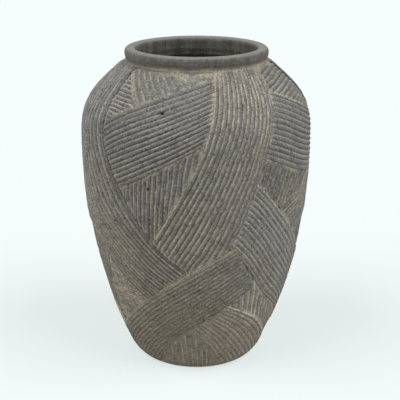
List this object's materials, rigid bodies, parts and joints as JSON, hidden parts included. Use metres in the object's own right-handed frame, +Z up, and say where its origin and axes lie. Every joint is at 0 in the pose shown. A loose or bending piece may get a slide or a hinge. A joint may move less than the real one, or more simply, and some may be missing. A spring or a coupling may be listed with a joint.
{
  "type": "tall vase",
  "caption": "Tall round-shouldered clay vase with a thick rolled rim and a skin of overlapping combed clay strips, for dry or cut stems.",
  "frame": {"origin": "centre of the foot, on the surface that the vase stands on", "axes": "+Z up along the vase's axis; -Y is the side that the picture shows"},
  "size_m": [0.2854, 0.2872, 0.3996],
  "materials": {
    "wall_clay": "fired clay, matt, dark inside",
    "base_clay": "fired clay, matt, unwashed",
    "rim_clay": "fired clay, smoothed, dark grey",
    "strip_clay": "combed fired clay, matt, sand-coloured wash in the grooves",
    "panel_clay": "combed fired clay, matt, sand-coloured wash in the grooves"
  },
  "bodies": {
    "root": {"wall_foot": "wall_clay", "wall_belly": "wall_clay", "wall_shoulder": "wall_clay", "base_slab": "base_clay", "rim_ring": "rim_clay", "front_low_cross_strip": "strip_clay", "front_left_sweep_strip": "strip_clay", "front_centre_strip": "strip_clay", "front_right_fall_strip": "strip_clay", "front_upper_left_strip": "strip_clay", "front_right_shoulder_strip": "strip_clay", "front_foot_right_strip": "strip_clay", "front_middle_panel": "panel_clay", "front_small_collar_panel": "panel_clay", "front_collar_panel": "panel_clay", "front_right_collar_panel": "panel_clay", "front_right_waist_panel": "panel_clay", "front_right_side_panel": "panel_clay", "front_left_side_panel": "panel_clay", "front_left_foot_panel": "panel_clay", "front_low_right_panel": "panel_clay", "front_foot_middle_panel": "panel_clay", "back_low_cross_strip": "strip_clay", "back_left_sweep_strip": "strip_clay", "back_centre_strip": "strip_clay", "back_right_fall_strip": "strip_clay", "back_upper_left_strip": "strip_clay", "back_right_shoulder_strip": "strip_clay", "back_foot_right_strip": "strip_clay", "back_middle_panel": "panel_clay", "back_small_collar_panel": "panel_clay", "back_collar_panel": "panel_clay", "back_right_collar_panel": "panel_clay", "back_right_waist_panel": "panel_clay", "back_right_side_panel": "panel_clay", "back_left_side_panel": "panel_clay", "back_left_foot_panel": "panel_clay", "back_low_right_panel": "panel_clay", "back_foot_middle_panel": "panel_clay"}
  },
  "joints": []
}
